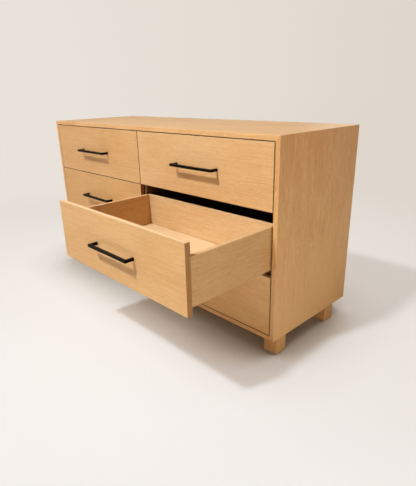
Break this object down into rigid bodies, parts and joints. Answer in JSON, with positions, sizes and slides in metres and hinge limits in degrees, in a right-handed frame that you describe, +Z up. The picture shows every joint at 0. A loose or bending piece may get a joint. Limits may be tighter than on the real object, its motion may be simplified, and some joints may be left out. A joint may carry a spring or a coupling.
{
  "type": "low dresser",
  "caption": "Low wide wooden dresser with mitred case, block legs, inset drawers on concealed runners and slim square bar pulls.",
  "frame": {"origin": "on the floor, under the middle of the footprint at rest, which includes the drawer that stands open in the picture and its pull", "axes": "+X along the front from left to right as the user faces it, +Y from the front to the back, +Z up"},
  "size_m": [1.524, 0.931, 0.805],
  "materials": {
    "case_veneer": "satin",
    "front_veneer": "satin",
    "back_veneer": "matt",
    "drawer_wood": "satin",
    "drawer_bottom": "matt",
    "joint_wood": "matt",
    "pull_black": "matt",
    "runner_steel": "zinc plated",
    "screw_steel": "zinc plated",
    "glide_plastic": "matt"
  },
  "bodies": {
    "case": {"case_top": "case_veneer", "case_bottom": "case_veneer", "case_left_side": "case_veneer", "case_right_side": "case_veneer", "centre_divider": "case_veneer", "cross_rails": "case_veneer", "back_panel": "back_veneer", "mitre_splines": "joint_wood", "divider_dowels": "joint_wood", "back_screws": "screw_steel", "front_left_leg": "case_veneer", "front_right_leg": "case_veneer", "rear_left_leg": "case_veneer", "rear_right_leg": "case_veneer", "leg_screws": "screw_steel", "leg_glides": "glide_plastic", "case_rails": "runner_steel", "rail_screws": "screw_steel"},
    "top_left_drawer": {"top_left_front": "front_veneer", "top_left_pull": "pull_black", "top_left_box_sides": "drawer_wood", "top_left_box_ends": "drawer_wood", "top_left_box_bottom": "drawer_bottom", "top_left_drawer_rails": "runner_steel"},
    "top_left_middle_rail": {"top_left_middle_rails": "runner_steel"},
    "top_right_drawer": {"top_right_front": "front_veneer", "top_right_pull": "pull_black", "top_right_box_sides": "drawer_wood", "top_right_box_ends": "drawer_wood", "top_right_box_bottom": "drawer_bottom", "top_right_drawer_rails": "runner_steel"},
    "top_right_middle_rail": {"top_right_middle_rails": "runner_steel"},
    "middle_left_drawer": {"middle_left_front": "front_veneer", "middle_left_pull": "pull_black", "middle_left_box_sides": "drawer_wood", "middle_left_box_ends": "drawer_wood", "middle_left_box_bottom": "drawer_bottom", "middle_left_drawer_rails": "runner_steel"},
    "middle_left_middle_rail": {"middle_left_middle_rails": "runner_steel"},
    "middle_right_drawer": {"middle_right_front": "front_veneer", "middle_right_pull": "pull_black", "middle_right_box_sides": "drawer_wood", "middle_right_box_ends": "drawer_wood", "middle_right_box_bottom": "drawer_bottom", "middle_right_drawer_rails": "runner_steel"},
    "middle_right_middle_rail": {"middle_right_middle_rails": "runner_steel"},
    "bottom_left_drawer": {"bottom_left_front": "front_veneer", "bottom_left_pull": "pull_black", "bottom_left_box_sides": "drawer_wood", "bottom_left_box_ends": "drawer_wood", "bottom_left_box_bottom": "drawer_bottom", "bottom_left_drawer_rails": "runner_steel"},
    "bottom_left_middle_rail": {"bottom_left_middle_rails": "runner_steel"},
    "bottom_right_drawer": {"bottom_right_front": "front_veneer", "bottom_right_pull": "pull_black", "bottom_right_box_sides": "drawer_wood", "bottom_right_box_ends": "drawer_wood", "bottom_right_box_bottom": "drawer_bottom", "bottom_right_drawer_rails": "runner_steel"},
    "bottom_right_middle_rail": {"bottom_right_middle_rails": "runner_steel"}
  },
  "joints": [
    {"name": "top_left_drawer_slide", "type": "slide", "parent": "case", "child": "top_left_drawer", "axis": [0, -1, 0], "range_m": [0, 0.4]},
    {"name": "top_left_rail_slide", "type": "slide", "parent": "case", "child": "top_left_middle_rail", "axis": [0, -1, 0], "range_m": [0, 0.2]},
    {"name": "top_right_drawer_slide", "type": "slide", "parent": "case", "child": "top_right_drawer", "axis": [0, -1, 0], "range_m": [0, 0.4]},
    {"name": "top_right_rail_slide", "type": "slide", "parent": "case", "child": "top_right_middle_rail", "axis": [0, -1, 0], "range_m": [0, 0.2]},
    {"name": "middle_left_drawer_slide", "type": "slide", "parent": "case", "child": "middle_left_drawer", "axis": [0, -1, 0], "range_m": [0, 0.4]},
    {"name": "middle_left_rail_slide", "type": "slide", "parent": "case", "child": "middle_left_middle_rail", "axis": [0, -1, 0], "range_m": [0, 0.2]},
    {"name": "middle_right_drawer_slide", "type": "slide", "parent": "case", "child": "middle_right_drawer", "axis": [0, -1, 0], "range_m": [-0.388, 0.012]},
    {"name": "middle_right_rail_slide", "type": "slide", "parent": "case", "child": "middle_right_middle_rail", "axis": [0, -1, 0], "range_m": [-0.194, 0.006]},
    {"name": "bottom_left_drawer_slide", "type": "slide", "parent": "case", "child": "bottom_left_drawer", "axis": [0, -1, 0], "range_m": [0, 0.4]},
    {"name": "bottom_left_rail_slide", "type": "slide", "parent": "case", "child": "bottom_left_middle_rail", "axis": [0, -1, 0], "range_m": [0, 0.2]},
    {"name": "bottom_right_drawer_slide", "type": "slide", "parent": "case", "child": "bottom_right_drawer", "axis": [0, -1, 0], "range_m": [0, 0.4]},
    {"name": "bottom_right_rail_slide", "type": "slide", "parent": "case", "child": "bottom_right_middle_rail", "axis": [0, -1, 0], "range_m": [0, 0.2]}
  ],
  "couplings": [
    {"joint": "top_left_rail_slide", "follows": "top_left_drawer_slide", "ratio": 0.5},
    {"joint": "top_right_rail_slide", "follows": "top_right_drawer_slide", "ratio": 0.5},
    {"joint": "middle_left_rail_slide", "follows": "middle_left_drawer_slide", "ratio": 0.5},
    {"joint": "middle_right_rail_slide", "follows": "middle_right_drawer_slide", "ratio": 0.5},
    {"joint": "bottom_left_rail_slide", "follows": "bottom_left_drawer_slide", "ratio": 0.5},
    {"joint": "bottom_right_rail_slide", "follows": "bottom_right_drawer_slide", "ratio": 0.5}
  ]
}
